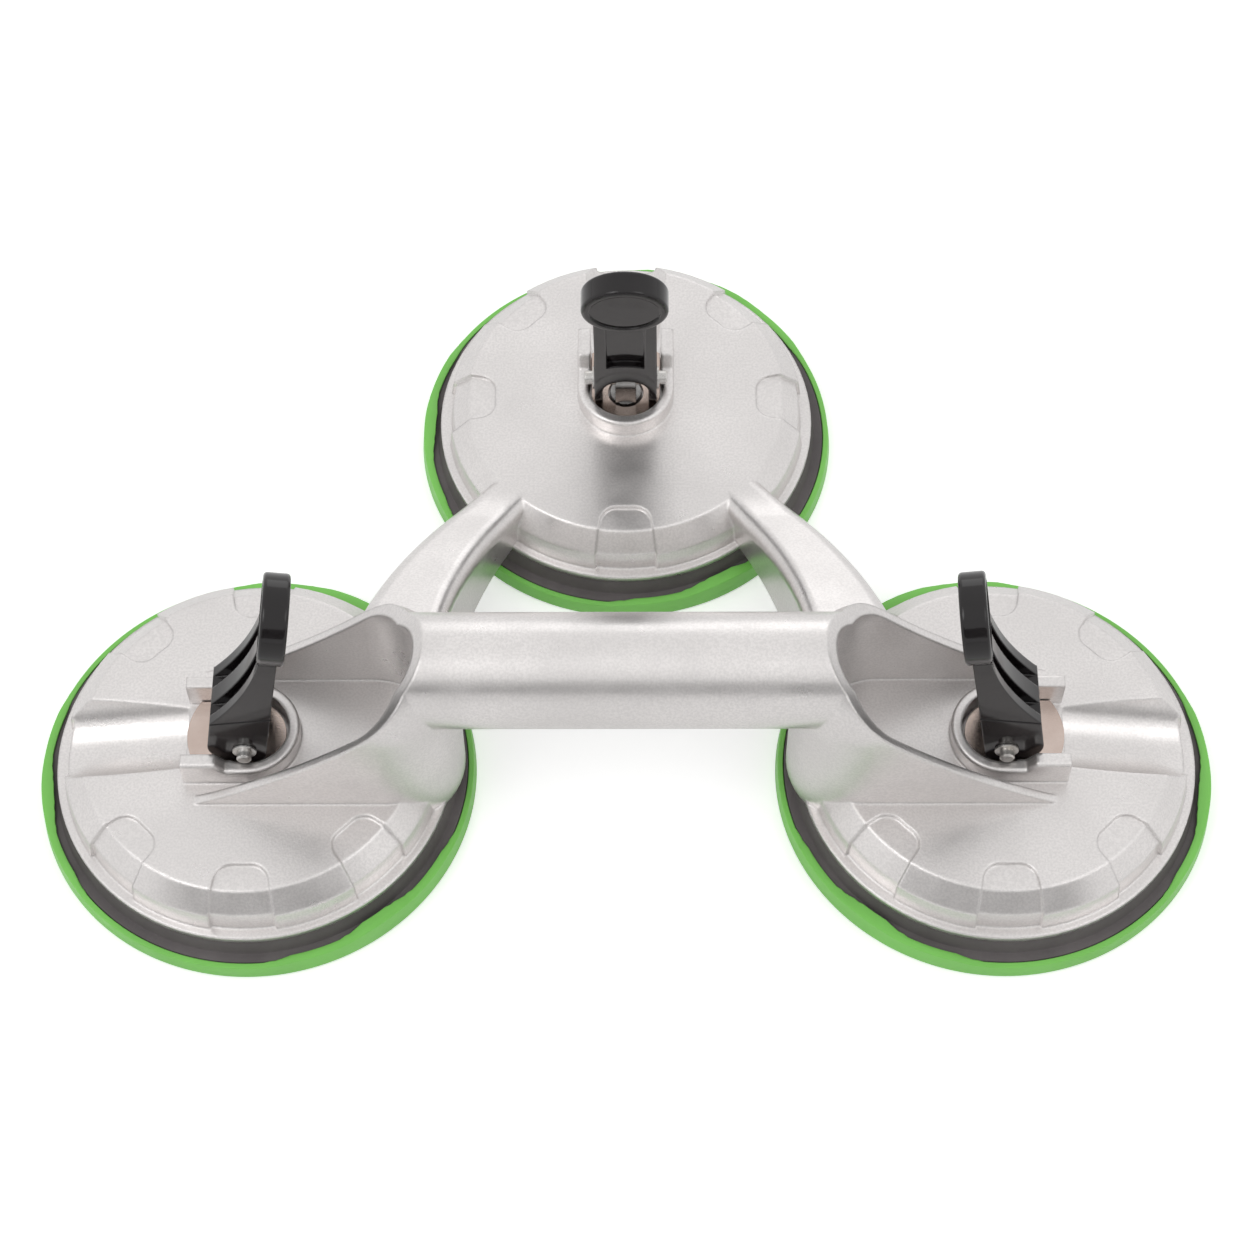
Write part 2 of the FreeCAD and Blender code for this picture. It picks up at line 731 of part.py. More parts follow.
def pad_core(name):
    """Steel insert disc of the pad; the stem is screwed into its boss."""
    body = new_body(name)
    top = CORE_TOP + " + Spec.core_boss_rise"
    revolve(body, name + "_turned", [
        ("Spec.stem_radius", CORE_BASE), ("Spec.core_radius", CORE_BASE),
        ("Spec.core_radius", CORE_TOP), ("Spec.core_boss_radius", CORE_TOP),
        ("Spec.core_boss_radius", top), ("Spec.stem_radius", top),
    ])
    return body


def suction_pad(name):
    """Rubber disc: sealing rim under the plate's lip, a web, and a seat for the core."""
    body = new_body(name)
    base = "Spec.pad_base"
    lip = "(" + LIP + " - Spec.lip_seat_width)"
    bed = "(Spec.core_radius + Spec.well_clearance)"
    revolve(body, name + "_turned", [
        ("0", base + " + Spec.pad_middle_rise"),
        (lip + " - Spec.pad_seal_inset", base + " + Spec.pad_edge_rise"),
        (lip + " - Spec.pad_seal_inset + Spec.pad_seal_ramp", base),
        (PAD_EDGE + " - Spec.pad_neck", base), (PAD_EDGE, base + " + Spec.pad_neck"),
        (PAD_EDGE, "Spec.pad_rim_top"), (PAD_EDGE + " - Spec.pad_shoulder", "Spec.pad_rim_top"),
        (LIP + " - Spec.pad_neck", "Spec.lip_base"), (lip + " + Spec.pad_fit", "Spec.lip_base"),
        (lip + " - Spec.overrun", "Spec.pad_web_top"), (bed, "Spec.pad_web_top"), (bed, CORE_BASE),
        ("0", CORE_BASE),
    ])
    return body


def return_spring(name):
    """Compression spring between the plate's roof and the core."""
    body = new_body(name)
    start = CORE_TOP + " + Spec.spring_wire"
    rise = ("Spec.plate_top - Spec.casting_wall - Spec.stem_foot - Spec.core_thickness"
            " - 2 * Spec.spring_wire")
    wire = draw_circle(body, name + "_wire", "XZ_Plane", "Spec.spring_radius", start,
                       "Spec.spring_wire")
    coil = body.newObject("PartDesign::AdditiveHelix", name + "_coil")
    coil.Profile = wire
    coil.ReferenceAxis = (wire, ["V_Axis"])
    coil.Mode = "height-turns-angle"
    bind(coil, Height=rise, Turns="Spec.spring_turns")
    doc.recompute()
    return body


CAP_INSIDE = "(" + PAD_EDGE + " + Spec.cap_gap)"
CAP_OUTSIDE = "(" + CAP_INSIDE + " + Spec.cap_rim)"


def cap_wall(body, name, top, lap, angle):
    """Sector of the cap's wall that rises and laps in over the rubber."""
    foot = "(Spec.cap_rim_top - Spec.cap_edge)"
    under = "(" + top + " - Spec.tab_thickness)"
    inner = "(" + CAP_INSIDE + " - " + lap + ")"
    profile = draw(body, name + "_profile", "XZ_Plane", [
        (CAP_INSIDE, foot), (CAP_OUTSIDE, foot), (CAP_OUTSIDE, top), (inner, top),
        (inner, under), (CAP_INSIDE, under),
    ])
    wall = feature(body, "Revolution", name, profile)
    wall.ReferenceAxis = (profile, ["V_Axis"])
    bind(wall, Angle=angle)
    wall.Midplane = True
    doc.recompute()
    return wall


def protective_cap(name):
    """Shallow push-on cover under the pad, with three raised grips round its rim."""
    body = new_body(name)
    revolve(body, name + "_turned", [
        ("0", "0"), (CAP_EDGE + " - Spec.cap_edge", "0"), (CAP_EDGE, "Spec.cap_edge"),
        (CAP_OUTSIDE, "Spec.cap_rim_top"), (CAP_INSIDE, "Spec.cap_rim_top"),
        (CAP_INSIDE, "Spec.cap_floor"), ("0", "Spec.cap_floor"),
    ])
    raised = [
        cap_wall(body, name + "_grip", "Spec.grip_top", "Spec.grip_lap", "Spec.grip_angle"),
        cap_wall(body, name + "_tab", "Spec.tab_top", "Spec.tab_lap", "Spec.tab_angle"),
    ]
    ring = body.newObject("PartDesign::PolarPattern", name + "_grip_ring")
    ring.Originals = raised
    ring.Axis = (origin_item(body, "Z_Axis"), [""])
    ring.Angle = 360
    bind(ring, Occurrences="Spec.grip_count")
    body.Tip = ring
    doc.recompute()
    return body


CAM = {
    "heel": "(Spec.pin_height - " + WEAR_TOP + " + Spec.stem_lift - Spec.cam_gap)",
    "cam_across": "(Spec.stem_lift / 2)",
    "cam_along": "(Spec.stem_lift / 2 / tan(45 + Spec.lever_lean / 2))",
    "cam": "(Spec.pin_height - " + WEAR_TOP + " + Spec.stem_lift / 2 - Spec.cam_gap)",
}


def lever_outline(body, name, top):
    """Side of the lever: heel, round cam, flat foot and inner face, up to a top line."""
    face = "(-1 * Spec.face_inset)"
    sole_across = "(%(cam_across)s - %(cam)s * sin(Spec.lever_lean))" % CAM
    sole_along = "(%(cam_along)s - %(cam)s * cos(Spec.lever_lean))" % CAM
    toe = "(%s + (%s + Spec.face_inset) * tan(Spec.lever_lean))" % (sole_along, sole_across)
    corners = [
        (CAM["heel"], "Spec.heel_height"), (CAM["heel"], CAM["cam_along"],
                                              CAM["cam"], -1),
        (sole_across, sole_along), (face, toe),
    ]
    return draw(body, name, "XZ_Plane", corners + top)


def lever(name):
    """Cam lever with a round paddle, drawn upright with its pin hole at the origin."""
    body = new_body(name)
    face = "(-1 * Spec.face_inset)"
    tall = lever_outline(body, name + "_side", [
        (face, "Spec.arm_top"), ("-1 * Spec.arm_back", "Spec.arm_top", "Spec.arm_sweep", 1),
    ])
    pad(body, name + "_arm", tall, "2 * Spec.lever_half_width", midplane=True)

    span = "Spec.channel_half_width"
    foot = "(Spec.channel_base - " + span + " ^ 2 / (2 * Spec.channel_arch))"
    channel = draw(body, name + "_channel_outline", "YZ_Plane", [
        ("-1 * " + span, foot, "Spec.channel_arch", -1), (span, foot),
        (span, "Spec.arm_top"), ("-1 * " + span, "Spec.arm_top"),
    ], "-1 * Spec.face_inset")
    pocket(body, name + "_channel", channel, "Spec.channel_depth", reverse=True)
    for hand in (-1, 1):
        near = "%d * Spec.rib_half_width" % hand
        far = "%d * (Spec.lever_half_width - Spec.flange_width)" % hand
        groove = draw(body, "%s_groove_outline_%d" % (name, hand + 1), "YZ_Plane", [
            (near, "Spec.heel_height"), (far, "Spec.heel_height"),
            (far, "Spec.arm_top"), (near, "Spec.arm_top"),
        ], "-1 * Spec.groove_floor")
        pocket(body, "%s_groove_%d" % (name, hand + 1), groove, "2 * " + CAM["heel"],
               reverse=True)

    low = lever_outline(body, name + "_block_side", [(face, foot)])
    pad(body, name + "_block", low, "2 * (Spec.lever_half_width + Spec.cheek_step)",
        midplane=True)

    near = "(-1 * Spec.paddle_inset - Spec.paddle_thickness / 2)"
    far = "(Spec.paddle_thickness / 2 - Spec.paddle_inset)"
    rim = "(Spec.paddle_radius - Spec.paddle_round)"
    lip = "(Spec.paddle_radius - Spec.paddle_lip)"
    disc = draw(body, name + "_disc", "XZ_Plane", [
        (near + " + Spec.paddle_dish", "0"), (near + " + Spec.paddle_dish", lip),
        (near, lip), (near, rim, "Spec.paddle_round", -1),
        (near + " + Spec.paddle_round", "Spec.paddle_radius"),
        (far + " - Spec.paddle_round", "Spec.paddle_radius", "Spec.paddle_round", -1),
        (far, rim), (far, lip), (far + " - Spec.paddle_dish", lip),
        (far + " - Spec.paddle_dish", "0"),
    ])
    disc.setExpression(".AttachmentOffset.Base.y", "Spec.paddle_height")
    paddle = feature(body, "Revolution", name + "_paddle", disc)
    paddle.ReferenceAxis = (disc, ["H_Axis"])
    paddle.Angle = 360
    doc.recompute()

    half = "Spec.fork_half_width"
    fork = draw(body, name + "_fork_outline", "YZ_Plane", [
        ("-1 * " + half, "-2 * " + CAM["heel"]), (half, "-2 * " + CAM["heel"]),
        (half, "Spec.fork_top - " + half, half, 1), ("0", "Spec.fork_top", half, 1),
        ("-1 * " + half, "Spec.fork_top - " + half),
    ])
    pocket(body, name + "_fork", fork, "4 * " + CAM["heel"], midplane=True)
    hole = draw_circle(body, name + "_hole", "XZ_Plane", "0", "0", "Spec.pin_radius")
    pocket(body, name + "_pin_hole", hole, "3 * Spec.lever_half_width", midplane=True)

    def toe(edge):
        """Inner lower corner of the foot, across both cheeks."""
        box = edge.BoundBox
        along_y = box.XLength < 0.01 and box.ZLength < 0.01
        return along_y and abs(box.XMin + spec("face_inset")) < 0.01 and box.ZMin < 0

    soften(body, name + "_toe", toe, "Spec.foot_round")
    return body


PIECES = (
    ("wear_plate", wear_plate),
    ("stem", stem),
    ("pad_core", pad_core),
    ("suction_pad", suction_pad),
    ("return_spring", return_spring),
    ("protective_cap", protective_cap),
    ("lever", lever),
    ("pivot_pin", pivot_pin),
    ("pin_clips", pin_clips),
)


def build():
    """Every node of the tool, each already in its place."""
    made = [body_casting()]
    at_pin = Placement(Vector(0, 0, spec("pin_height")),
                       Rotation(Vector(0, 1, 0), -spec("lever_lean")))
    for side, yaw, where, cap_turn in CUPS:
        turned = Placement(Vector(0, 0, 0), Rotation(Vector(0, 0, 1), cap_turn))
        own = {"protective_cap": turned, "lever": at_pin, "pivot_pin": at_pin,
               "pin_clips": at_pin}
        for kind, make in PIECES:
            node = make("%s_%s" % (kind, side))
            node.Placement = cup_place(yaw, where) * own.get(kind, Placement())
            made.append(node)
    doc.recompute()
    return made


def check(nodes):
    for item in doc.Objects:
        if "Invalid" in item.State or "Error" in item.State:
            raise RuntimeError(item.Name + " failed")
    for node in nodes:
        if node.Shape.isNull() or not node.Shape.isValid():
            raise RuntimeError(node.Name + " has no valid shape")


def export(nodes):
    os.makedirs("parts", exist_ok=True)
    for node in nodes:
        node.Shape.exportStep("parts/%s.step" % node.Label)
        print(node.Label, len(node.Shape.Solids), round(node.Shape.Volume, 1))


sub_parts = build()
check(sub_parts)
export(sub_parts)
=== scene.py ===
"""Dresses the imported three-cup floor tile lifter: finishes for its casting, levers and
steel, and modelled caps, pads and springs in place of the plain ones. Metres, +Z up."""
import math

import bpy
from bpy.props import FloatProperty, FloatVectorProperty, IntProperty, PointerProperty
from mathutils import Matrix, Vector


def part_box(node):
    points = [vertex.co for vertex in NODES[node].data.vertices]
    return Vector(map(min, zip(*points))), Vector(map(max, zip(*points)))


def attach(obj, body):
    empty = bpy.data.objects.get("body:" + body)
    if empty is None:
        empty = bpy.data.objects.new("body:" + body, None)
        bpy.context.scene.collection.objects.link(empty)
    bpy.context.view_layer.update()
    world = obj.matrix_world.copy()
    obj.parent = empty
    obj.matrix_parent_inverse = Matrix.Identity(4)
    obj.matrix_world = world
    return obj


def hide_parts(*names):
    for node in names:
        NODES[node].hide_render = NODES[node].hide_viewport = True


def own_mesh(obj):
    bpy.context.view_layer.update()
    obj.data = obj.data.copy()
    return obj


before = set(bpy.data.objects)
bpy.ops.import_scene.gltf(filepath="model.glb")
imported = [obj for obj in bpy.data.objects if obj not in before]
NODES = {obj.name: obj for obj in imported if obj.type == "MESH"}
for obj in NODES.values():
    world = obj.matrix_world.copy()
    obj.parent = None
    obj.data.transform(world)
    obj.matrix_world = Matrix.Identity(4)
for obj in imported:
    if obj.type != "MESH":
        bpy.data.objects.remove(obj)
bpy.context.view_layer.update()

bl_info = {
    "name": "Floor tile lifter",
    "version": (1, 0, 0),
    "blender": (4, 5, 0),
    "location": "View3D > Sidebar > Lifter",
    "description": "Finishes, caps, pads and springs of a three-cup suction lifter",
    "category": "Object",
}

SIDES = ("left", "right", "back")
MM = 0.001
BEVEL_SAMPLES = 6
METAL_GRAIN = 1500          # pits per metre of the blasted casting
STEEL_SPREAD = 0.16         # how much rougher the drawn lines get
STEEL_EDGE = 0.25 * MM      # softened edges
MOULDED_EDGE = 0.4 * MM


def cup_centre(side):
    """Centre of a cup on the floor, from its protective cap."""
    low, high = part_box("protective_cap_" + side)
    return Vector(((low[0] + high[0]) / 2, (low[1] + high[1]) / 2, low[2]))


# ------------------------------------------------------------------ node trees

class Shades:
    """Strings the nodes of one material together."""

    def __init__(self, name):
        self.material = bpy.data.materials.new(name)
        self.material.use_nodes = True
        self.tree = self.material.node_tree
        self.shader = self.tree.nodes["Principled BSDF"]
        self.places = self.add("ShaderNodeTexCoord").outputs["Object"]

    def add(self, kind, **inputs):
        """New node with these inputs set; an underscore stands for a space."""
        node = self.tree.nodes.new(kind)
        for name, value in inputs.items():
            node.inputs[name.replace("_", " ")].default_value = value
        return node

    def link(self, source, target):
        self.tree.links.new(source, target)

    def noise(self, scale, detail=3.0, rough=0.55, stretch=None):
        """Noise over the object, in cells of 1 / scale metres."""
        node = self.add("ShaderNodeTexNoise", Scale=scale, Detail=detail, Roughness=rough)
        source = self.places
        if stretch:
            mapping = self.add("ShaderNodeMapping")
            mapping.inputs["Scale"].default_value = stretch
            self.link(source, mapping.inputs["Vector"])
            source = mapping.outputs["Vector"]
        self.link(source, node.inputs["Vector"])
        return node.outputs["Fac"]

    def ramp(self, source, *stops):
        """Colour ramp; a stop is (place, grey or colour)."""
        node = self.tree.nodes.new("ShaderNodeValToRGB")
        ramp = node.color_ramp
        while len(ramp.elements) < len(stops):
            ramp.elements.new(0.5)
        for element, (place, value) in zip(ramp.elements, stops):
            element.position = place
            element.color = (value, value, value, 1) if isinstance(value, float) else (
                *value, 1)
        self.link(source, node.inputs["Fac"])
        return node.outputs["Color"]

    def mix(self, amount, first, second, blend="MIX"):
        """Colour mix; amount, first and second are sockets or constants."""
        node = self.tree.nodes.new("ShaderNodeMix")
        node.data_type = "RGBA"
        node.blend_type = blend
        for socket, value in ((node.inputs[0], amount), (node.inputs[6], first),
                              (node.inputs[7], second)):
            if isinstance(value, bpy.types.NodeSocket):
                self.link(value, socket)
            elif isinstance(value, (int, float)):
                socket.default_value = value
            else:
                socket.default_value = (*value, 1)
        return node.outputs[2]

    def bump(self, height, distance, strength=1.0, soft=None):
        """Bump over a rounded-edge normal of radius soft."""
        node = self.add("ShaderNodeBump", Strength=strength, Distance=distance)
        self.link(height, node.inputs["Height"])
        if soft:
            bevel = self.tree.nodes.new("ShaderNodeBevel")
            bevel.samples = BEVEL_SAMPLES
            bevel.inputs["Radius"].default_value = soft
            self.link(bevel.outputs["Normal"], node.inputs["Normal"])
        self.link(node.outputs["Normal"], self.shader.inputs["Normal"])

    def set(self, **values):
        """Set the shader's sockets, or link them where the value is a socket."""
        for name, value in values.items():
            socket = self.shader.inputs[name.replace("_", " ")]
            if isinstance(value, bpy.types.NodeSocket):
                self.link(value, socket)
            else:
                socket.default_value = value


def toned(colour, share, lift=0.0):
    """The colour times a share, plus a lift, and never over 1."""
    return tuple(min(1, share * part + lift) for part in colour)


def cast_metal(looks):
    """Bead-blasted cast aluminium: fine pitted grain and faint clouding."""
    shades = Shades("blasted_aluminium")
    base = tuple(looks.metal)
    cloud = shades.ramp(shades.noise(34, 5), (0.35, 0.0), (0.7, 1.0))
    pits = shades.ramp(shades.noise(METAL_GRAIN, 2), (0.38, 0.0), (0.62, 1.0))
    tone = shades.mix(cloud, toned(base, 0.92), toned(base, 1.03))
    tone = shades.mix(shades.mix(1.0, pits, (0.5, 0.5, 0.5), "MULTIPLY"), tone,
                      toned(base, 0.78))
    shades.set(Base_Color=tone, Metallic=0.82, Specular_IOR_Level=0.5)
    shades.set(Roughness=shades.ramp(shades.noise(90, 4), (0.3, 0.27), (0.75, 0.38)))
    shades.bump(shades.noise(METAL_GRAIN, 2), 0.08 * MM, 0.4, soft=looks.metal_edge)
    return shades.material


def lever_plastic(looks):
    """Glossy black moulded plastic with a faint ripple and a little dust."""
    shades = Shades("gloss_black_plastic")
    base = tuple(looks.lever)
    dust = shades.ramp(shades.noise(60, 5), (0.45, 0.0), (0.8, 1.0))
    shades.set(Base_Color=shades.mix(dust, base, toned(base, 1.7, 0.003)),
               Specular_IOR_Level=0.42)
    shades.set(Roughness=shades.ramp(shades.noise(140, 4), (0.3, 0.07), (0.75, 0.15)))
    shades.bump(shades.noise(160, 2), 0.1 * MM, 0.4, soft=looks.lever_edge)
    return shades.material


def rubber(looks):
    """Dark moulded rubber with a chalky bloom."""
    shades = Shades("pad_rubber")
    base = tuple(looks.rubber)
    bloom = shades.ramp(shades.noise(45, 5, 0.6), (0.38, 0.0), (0.8, 1.0))
    shades.set(Base_Color=shades.mix(bloom, base, toned(base, 1.4, 0.008)),
               Specular_IOR_Level=0.3)
    shades.set(Roughness=shades.ramp(shades.noise(200, 3), (0.3, 0.5), (0.7, 0.68)))
    shades.bump(shades.noise(900, 3), 0.12 * MM, 0.5, soft=MOULDED_EDGE)
    return shades.material


def cap_plastic(looks):
    """Bright moulded plastic, satin, with faint clouding."""
    shades = Shades("cap_plastic")
    base = tuple(looks.cap)
    cloud = shades.ramp(shades.noise(35, 4), (0.35, 0.0), (0.75, 1.0))
    shades.set(Base_Color=shades.mix(cloud, toned(base, 0.92), toned(base, 1.06)),
               Specular_IOR_Level=0.45)
    shades.set(Roughness=shades.ramp(shades.noise(120, 4), (0.3, 0.34), (0.75, 0.5)))
    shades.bump(shades.noise(700, 2), 0.08 * MM, 0.4, soft=MOULDED_EDGE)
    return shades.material


def steel(name, base, rough, stretch, tint, metallic=0.85):
    """Plated or polished steel: drawn grain, with tarnish clouds in the tint."""
    shades = Shades(name)
    cloud = shades.ramp(shades.noise(110, 5), (0.4, 0.0), (0.72, 1.0))
    shades.set(Base_Color=shades.mix(cloud, base, tint), Metallic=metallic)
    lines = shades.noise(900, 3, 0.6, stretch)
    shades.set(Roughness=shades.ramp(lines, (0.3, rough), (0.75, rough + STEEL_SPREAD)))
    shades.bump(lines, 0.08 * MM, 0.4, soft=STEEL_EDGE)
    return shades.material


def dress(node, material):
    """One material over the whole of a node."""
    slots = node.material_slots
    if not slots:
        node.data.materials.append(material)
    for slot in slots:
        slot.material = material


# ------------------------------------------------------------------ hand modelling

LATHE_SMOOTH = math.radians(32)


def clear_selection():
    """Object mode with nothing selected."""
    if bpy.context.object and bpy.context.object.mode != "OBJECT":
        bpy.ops.object.mode_set(mode="OBJECT")
    bpy.ops.object.select_all(action="DESELECT")


def lathe(name, profile, segments):
    """Round piece about Z: a disc whose rim is extruded from one (radius, height) to the
    next and closed at the end."""
    clear_selection()
    radius, height = profile[0]
    bpy.ops.mesh.primitive_circle_add(vertices=segments, radius=radius, fill_type="NGON",
                                      location=(0, 0, height))
    made = bpy.context.object
    made.name = name
    bpy.ops.object.transform_apply(location=True, rotation=True, scale=True)
    bpy.ops.object.mode_set(mode="EDIT")
    bpy.ops.mesh.select_all(action="SELECT")
    bpy.ops.mesh.select_mode(type="EDGE")
    bpy.ops.mesh.region_to_loop()
    for next_radius, next_height in profile[1:]:
        bpy.ops.mesh.extrude_edges_move(
            TRANSFORM_OT_translate={"value": (0, 0, next_height - height)})
        share = next_radius / radius
        bpy.ops.transform.resize(value=(share, share, 1), center_override=(0, 0, 0))
        radius, height = next_radius, next_height
    bpy.ops.mesh.edge_face_add()
    bpy.ops.mesh.select_all(action="SELECT")
    bpy.ops.mesh.normals_make_consistent(inside=False)
    bpy.ops.object.mode_set(mode="OBJECT")
    bpy.ops.object.shade_smooth_by_angle(angle=LATHE_SMOOTH)
    return made


def settle(piece, spot):
    """Move a finished piece to its place and bake the place into its mesh."""
    clear_selection()
    piece.location = spot
    piece.select_set(True)
    bpy.context.view_layer.objects.active = piece
    bpy.ops.object.transform_apply(location=True, rotation=True, scale=True)


def mesh_copy(piece, name):
    """A copy with a mesh of its own."""
    made = piece.copy()
    made.data = piece.data.copy()
    made.name = name
    bpy.context.collection.objects.link(made)
    return made


# ------------------------------------------------------------------ settings

class LifterLooks(bpy.types.PropertyGroup):
    """Colours of the finishes and softness of the edges"""
    metal: FloatVectorProperty(
        name="Casting", description="Colour of the blasted aluminium", subtype="COLOR",
        default=(0.79, 0.762, 0.75), min=0, max=1)
    lever: FloatVectorProperty(
        name="Levers", description="Colour of the lever plastic", subtype="COLOR",
        default=(0.008, 0.006, 0.0065), min=0, max=1)
    rubber: FloatVectorProperty(
        name="Pads", description="Colour of the rubber", subtype="COLOR",
        default=(0.112, 0.101, 0.101), min=0, max=1)
    cap: FloatVectorProperty(
        name="Caps", description="Colour of the protective caps", subtype="COLOR",
        default=(0.245, 0.69, 0.13), min=0, max=1)
    metal_edge: FloatProperty(
        name="Casting edges", description="Radius of the casting's softened edges",
        subtype="DISTANCE", unit="LENGTH", default=1.2 * MM, min=0)
    lever_edge: FloatProperty(
        name="Lever edges", description="Radius of the levers' softened edges",
        subtype="DISTANCE", unit="LENGTH", default=0.7 * MM, min=0)


class LifterSprings(bpy.types.PropertyGroup):
    """Sizes of the return springs"""
    wire: FloatProperty(
        name="Wire", description="Radius of the spring wire", subtype="DISTANCE",
        unit="LENGTH", default=0.9 * MM, min=0)
    coil: FloatProperty(
        name="Coil", description="Radius of the coil to the middle of its wire",
        subtype="DISTANCE", unit="LENGTH", default=12.5 * MM, min=0)
    turns: IntProperty(name="Turns", description="Turns of each spring", default=3, min=1)


class LifterStage(bpy.types.PropertyGroup):
    """Floor and camera"""
    floor_size: FloatProperty(
        name="Floor", description="Width of the floor", subtype="DISTANCE", unit="LENGTH",
        default=12.0)
    lens: FloatProperty(
        name="Lens", description="Focal length on a 36 mm sensor", default=84.26)
    distance: FloatProperty(
        name="Distance", description="Camera to target", subtype="DISTANCE", unit="LENGTH",
        default=0.84107)
    elevation: FloatProperty(
        name="Elevation", description="Camera above the floor", subtype="ANGLE",
        default=math.radians(60.014))
    azimuth: FloatProperty(
        name="Azimuth", description="Camera round to the right", subtype="ANGLE",
        default=math.radians(0.551))
    roll: FloatProperty(
        name="Roll", description="Camera roll", subtype="ANGLE",
        default=math.radians(-0.576))
    target: FloatVectorProperty(
        name="Target", description="Point looked at", subtype="TRANSLATION",
        unit="LENGTH", default=(-0.000304, -0.00706, 0.0))


# ------------------------------------------------------------------ pieces

class LIFTER_OT_casting(bpy.types.Operator):
    """Give the casting its blasted metal"""
    bl_idname = "lifter.casting"
    bl_label = "Casting"

    def execute(self, context):
        dress(NODES["body_casting"], cast_metal(context.scene.lifter_looks))
        return {"FINISHED"}


class LIFTER_OT_levers(bpy.types.Operator):
    """Give the levers their glossy plastic"""
    bl_idname = "lifter.levers"
    bl_label = "Levers"

    def execute(self, context):
        plastic = lever_plastic(context.scene.lifter_looks)
        for side in SIDES:
            dress(NODES["lever_" + side], plastic)
        return {"FINISHED"}


class LIFTER_OT_steel(bpy.types.Operator):
    """Give pins, clips, stems, cores and wear plates their steel"""
    bl_idname = "lifter.steel"
    bl_label = "Steel parts"

    def execute(self, context):
        zinc = steel("zinc_steel", (0.66, 0.65, 0.64), 0.24, (1, 1, 6), (0.5, 0.47, 0.43))
        warm = steel("wear_steel", (0.58, 0.48, 0.43), 0.08, (1, 8, 1), (0.51, 0.41, 0.36),
                     metallic=1.0)
        # The stems' steel is darker than the pins' steel: shade painted into its colour,
        # because the stems stand in shadow down the wells.
        dark = steel("stem_steel_painted_shade", (0.33, 0.325, 0.32), 0.16, (1, 1, 6), (0.24, 0.23, 0.22),
                     metallic=1.0)
        finishes = {"pivot_pin": zinc, "pin_clips": zinc, "stem": dark, "pad_core": zinc,
                    "wear_plate": warm}
        for side in SIDES:
            for kind, finish in finishes.items():
                dress(NODES["%s_%s" % (kind, side)], finish)
        return {"FINISHED"}


# Half section of a cap in millimetres, from its floor up the inside of its rim and down
# to its underside. Points above RIM_FOOT belong to the rim's lip.
CAP_SECTION = (
    (12.0, 1.5), (57.9, 1.5), (58.25, 1.65), (58.4, 2.1), (58.4, 4.05), (58.36, 4.1),
    (58.34, 4.75), (58.45, 4.9), (59.65, 4.9), (59.85, 4.7), (60.4, 0.6), (60.25, 0.2),
    (59.9, 0.0), (12.0, 0.0),
)
RIM_FOOT = 4.0 * MM
LIP_INSIDE = 58.42 * MM
CAP_SEGMENTS = 240
CAP_FACING = {"left": 188.0, "right": -9.0, "back": 58.0}   # turn of each cap, degrees

# Raised lengths of a cap's rim: where they stand and half their width in degrees, and how
# far they rise and lap inward in millimetres. A ramp at each end climbs in a few steps.
GRIP_PLACES = (0, 120, 240)
GRIP = {"half": 29.0, "rise": 1.0, "lap": 0.7}
TAB = {"half": 7.5, "rise": 0.8, "lap": 1.2}
RAMP = 6.0
RAMP_STEPS = 4


def raise_rim(cap, middle, half, rise, lap):
    """Raise the rim within half a width each side of middle, in degrees, and lap its lip
    inward, with a ramp at each end."""
    mesh = cap.data
    spots = [vertex.co.copy() for vertex in mesh.vertices]
    above = [n for n, spot in enumerate(spots) if spot.z > RIM_FOOT]
    turns = {n: math.degrees(math.atan2(spots[n].y, spots[n].x)) for n in above}
    for step in range(RAMP_STEPS):
        reach = half + RAMP * (0.5 - step / (RAMP_STEPS - 1))
        near = [n for n in above if abs((turns[n] - middle + 180) % 360 - 180) < reach]
        lip = [n for n in near if math.hypot(spots[n].x, spots[n].y) < LIP_INSIDE]
        pick(mesh, near)
        bpy.ops.transform.translate(value=(0, 0, rise * MM / RAMP_STEPS))
        pick(mesh, lip)
        share = 1 - lap * MM / RAMP_STEPS / LIP_INSIDE
        bpy.ops.transform.resize(value=(share, share, 1), center_override=(0, 0, 0))
    bpy.ops.object.mode_set(mode="OBJECT")


def pick(mesh, numbers):
    """Edit mode with only these vertices selected."""
    bpy.ops.object.mode_set(mode="EDIT")
    bpy.ops.mesh.select_mode(type="VERT")
    bpy.ops.mesh.select_all(action="DESELECT")
    bpy.ops.object.mode_set(mode="OBJECT")
    for number in numbers:
        mesh.vertices[number].select = True
    bpy.ops.object.mode_set(mode="EDIT")


class LIFTER_OT_caps(bpy.types.Operator):
    """Model the protective caps with their grips in bright plastic"""
    bl_idname = "lifter.caps"
    bl_label = "Protective caps"

    def execute(self, context):
        first = lathe("cap_left", [(r * MM, z * MM) for r, z in CAP_SECTION], CAP_SEGMENTS)
        for middle in GRIP_PLACES:
            raise_rim(first, middle, **GRIP)
            raise_rim(first, middle, **TAB)
        first.data.materials.append(cap_plastic(context.scene.lifter_looks))
        caps = [first] + [mesh_copy(first, "cap_" + side) for side in SIDES[1:]]
        for cap, side in zip(caps, SIDES):
            cap.rotation_euler.z = math.radians(CAP_FACING[side])
            settle(cap, cup_centre(side))
            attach(cap, "cap_" + side)
            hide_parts("protective_cap_" + side)
        return {"FINISHED"}


WIRE_SIDES = 12
COIL_STEPS = 48
COIL_SMOOTH = math.radians(40)


